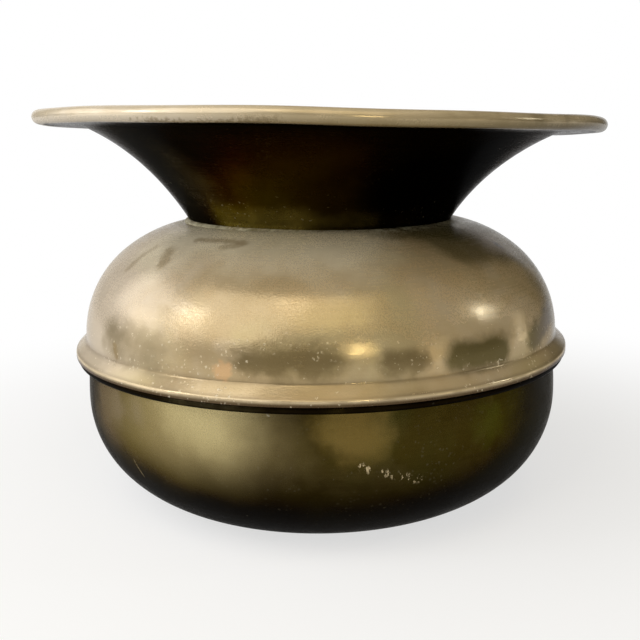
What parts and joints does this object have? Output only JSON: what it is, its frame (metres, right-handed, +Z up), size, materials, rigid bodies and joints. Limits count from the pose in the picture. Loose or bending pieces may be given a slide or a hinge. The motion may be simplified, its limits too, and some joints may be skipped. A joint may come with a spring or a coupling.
{
  "type": "spittoon",
  "caption": "Round brass spittoon: wide flared funnel with a rolled rim soldered to a domed shoulder, lapped at a belt seam over a rounded, weighted bowl.",
  "frame": {"origin": "centre of the base, on the table's surface", "axes": "+Z up along the axis of revolution, through the middle of the mouth"},
  "size_m": [0.254, 0.254, 0.1725],
  "materials": {
    "funnel_brass": "tarnished, satin",
    "shoulder_brass": "tarnished, satin",
    "bowl_brass": "tarnished, satin",
    "inner_brass": "dull, unpolished",
    "solder": "oxidised, crusted",
    "iron": "rough cast",
    "wire": "drawn, dark"
  },
  "bodies": {
    "root": {"funnel": "funnel_brass", "rim_wire": "wire", "shoulder_shell": "shoulder_brass", "bowl_shell": "bowl_brass", "neck_solder": "solder", "belt_solder": "solder", "base_weight": "iron", "weight_cover": "inner_brass", "cover_solder": "solder"}
  },
  "joints": []
}
